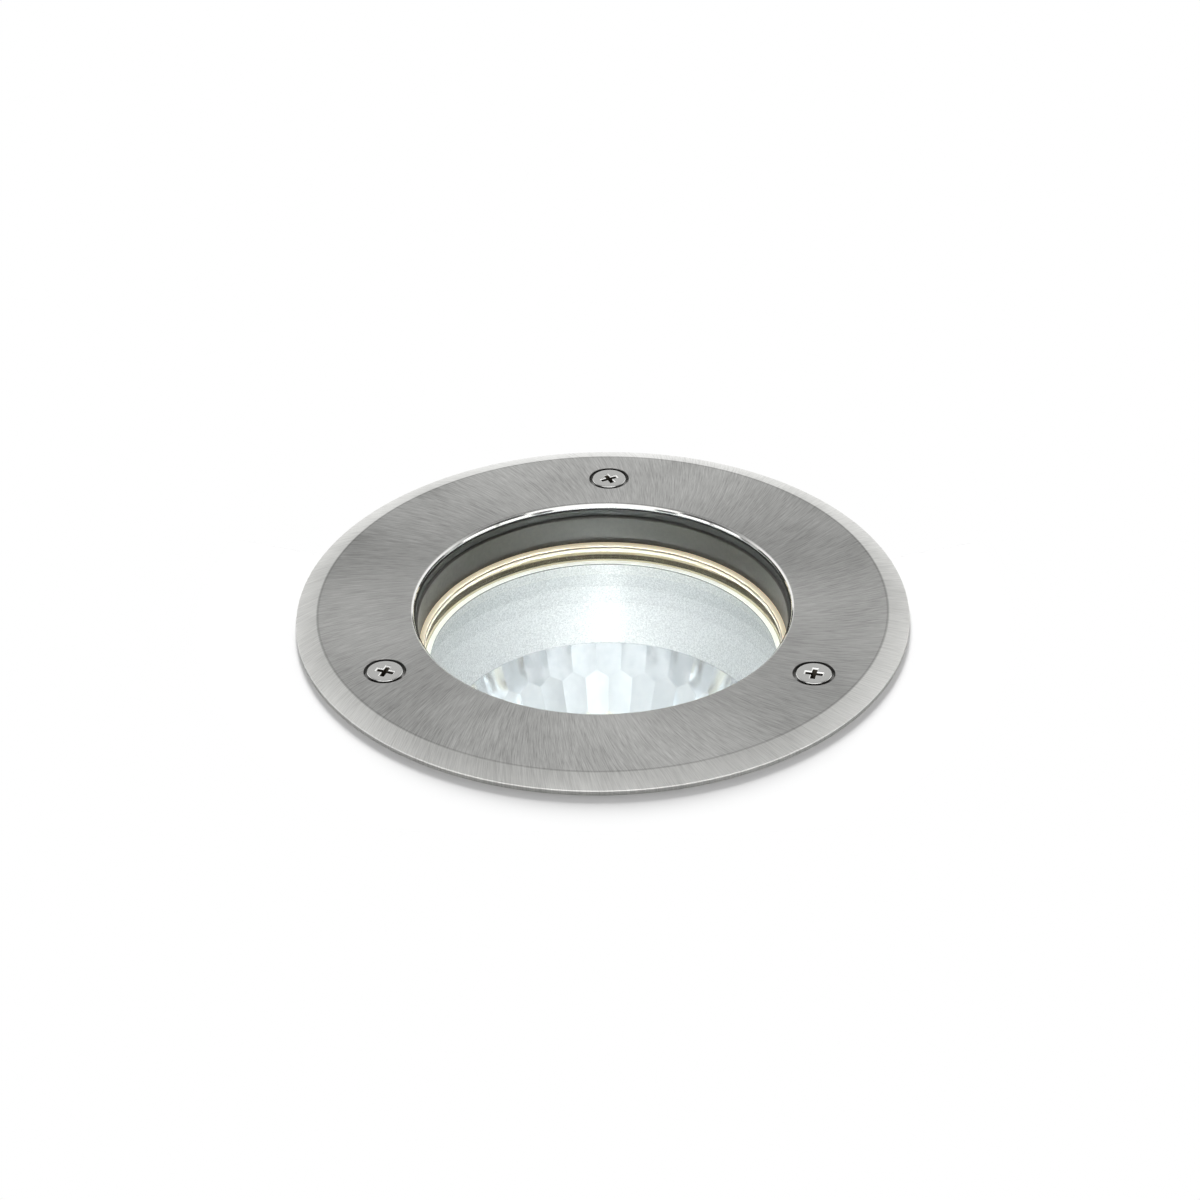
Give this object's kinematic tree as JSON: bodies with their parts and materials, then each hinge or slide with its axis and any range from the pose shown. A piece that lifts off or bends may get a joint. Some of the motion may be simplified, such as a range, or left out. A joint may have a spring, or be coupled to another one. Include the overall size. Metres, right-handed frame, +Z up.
{
  "type": "recessed light",
  "caption": "Round walk-over recessed ground light: brushed steel cover ring, screwed down, glass lens, frosted sleeve and faceted reflector in a ribbed cast pot with cable gland.",
  "frame": {"origin": "centre of the cover ring's underside, at paving level", "axes": "+Z up out of the ground along the light's axis, +Y towards the first cover screw"},
  "size_m": [0.13, 0.13, 0.1513],
  "materials": {
    "brushed_stainless": "brushed stainless steel cover ring",
    "screw_stainless": "plain stainless steel screws",
    "black_rubber": "moulded EPDM",
    "grey_enamel": "mid grey satin enamel on aluminium",
    "amber_silicone": "translucent beige silicone",
    "clear_glass": "clear toughened glass",
    "blasted_aluminium": "sand-blasted aluminium with a polished lip",
    "bright_reflector": "bright metallised facets",
    "lit_phosphor": "lit phosphor disc",
    "board_aluminium": "white-masked metal-core board",
    "thermal_silicone": "soft thermal pad",
    "holder_plastic": "moulded white plastic",
    "fastener_steel": "zinc-plated steel",
    "plate_aluminium": "turned aluminium",
    "foam_tape": "adhesive pad",
    "driver_plastic": "moulded black plastic",
    "potting_resin": "cast resin",
    "terminal_plastic": "moulded nylon",
    "contact_brass": "machined brass",
    "tinned_copper": "tinned lug",
    "lead_pair": "silicone insulation",
    "lead_supply": "plastic insulation",
    "lead_earth": "green insulation",
    "cast_aluminium": "die-cast aluminium, anthracite powder coat",
    "gland_nylon": "moulded black nylon"
  },
  "bodies": {
    "pot": {"glare_sleeve": "blasted_aluminium", "reflector_bowl": "bright_reflector", "led_emitter": "lit_phosphor", "led_board": "board_aluminium", "thermal_pad": "thermal_silicone", "led_holder": "holder_plastic", "led_holder_screws": "fastener_steel", "heat_sink": "plate_aluminium", "heat_sink_screws": "fastener_steel", "driver_pad": "foam_tape", "driver_case": "driver_plastic", "driver_potting": "potting_resin", "terminal_block": "terminal_plastic", "terminal_contacts": "contact_brass", "terminal_screws": "fastener_steel", "earth_lug": "tinned_copper", "earth_screw": "fastener_steel", "led_leads": "lead_pair", "driver_leads": "lead_supply", "earth_lead": "lead_earth", "housing": "cast_aluminium", "flange_ring": "cast_aluminium", "plate_standoffs": "contact_brass", "gland_body": "gland_nylon", "gland_washer": "black_rubber", "gland_locknut": "gland_nylon", "gland_seal": "black_rubber"},
    "glass_pack": {"clamp_ring": "grey_enamel", "lens_gasket": "amber_silicone", "glass_lens": "clear_glass"},
    "cover": {"trim_ring": "brushed_stainless", "trim_seal": "black_rubber"},
    "screw_1": {"trim_screw_1": "screw_stainless"},
    "screw_2": {"trim_screw_2": "screw_stainless"},
    "screw_3": {"trim_screw_3": "screw_stainless"},
    "cable_nut": {"gland_nut": "gland_nylon"}
  },
  "joints": [
    {"name": "glass_lift", "type": "slide", "parent": "pot", "child": "glass_pack", "axis": [0, 0, 1], "range_m": [0, 0.05]},
    {"name": "cover_lift", "type": "slide", "parent": "glass_pack", "child": "cover", "axis": [0, 0, 1], "range_m": [0, 0.05]},
    {"name": "screw_1_turn", "type": "hinge", "parent": "cover", "child": "screw_1", "pos_m": [0, 0.0511, 0.002], "axis": [0, 0, 1], "continuous": true},
    {"name": "screw_2_turn", "type": "hinge", "parent": "cover", "child": "screw_2", "pos_m": [-0.04425, -0.02555, 0.002], "axis": [0, 0, 1], "continuous": true},
    {"name": "screw_3_turn", "type": "hinge", "parent": "cover", "child": "screw_3", "pos_m": [0.04425, -0.02555, 0.002], "axis": [0, 0, 1], "continuous": true},
    {"name": "cable_nut_turn", "type": "hinge", "parent": "pot", "child": "cable_nut", "pos_m": [0, 0, -0.141], "axis": [0, 0, 1], "continuous": true}
  ]
}
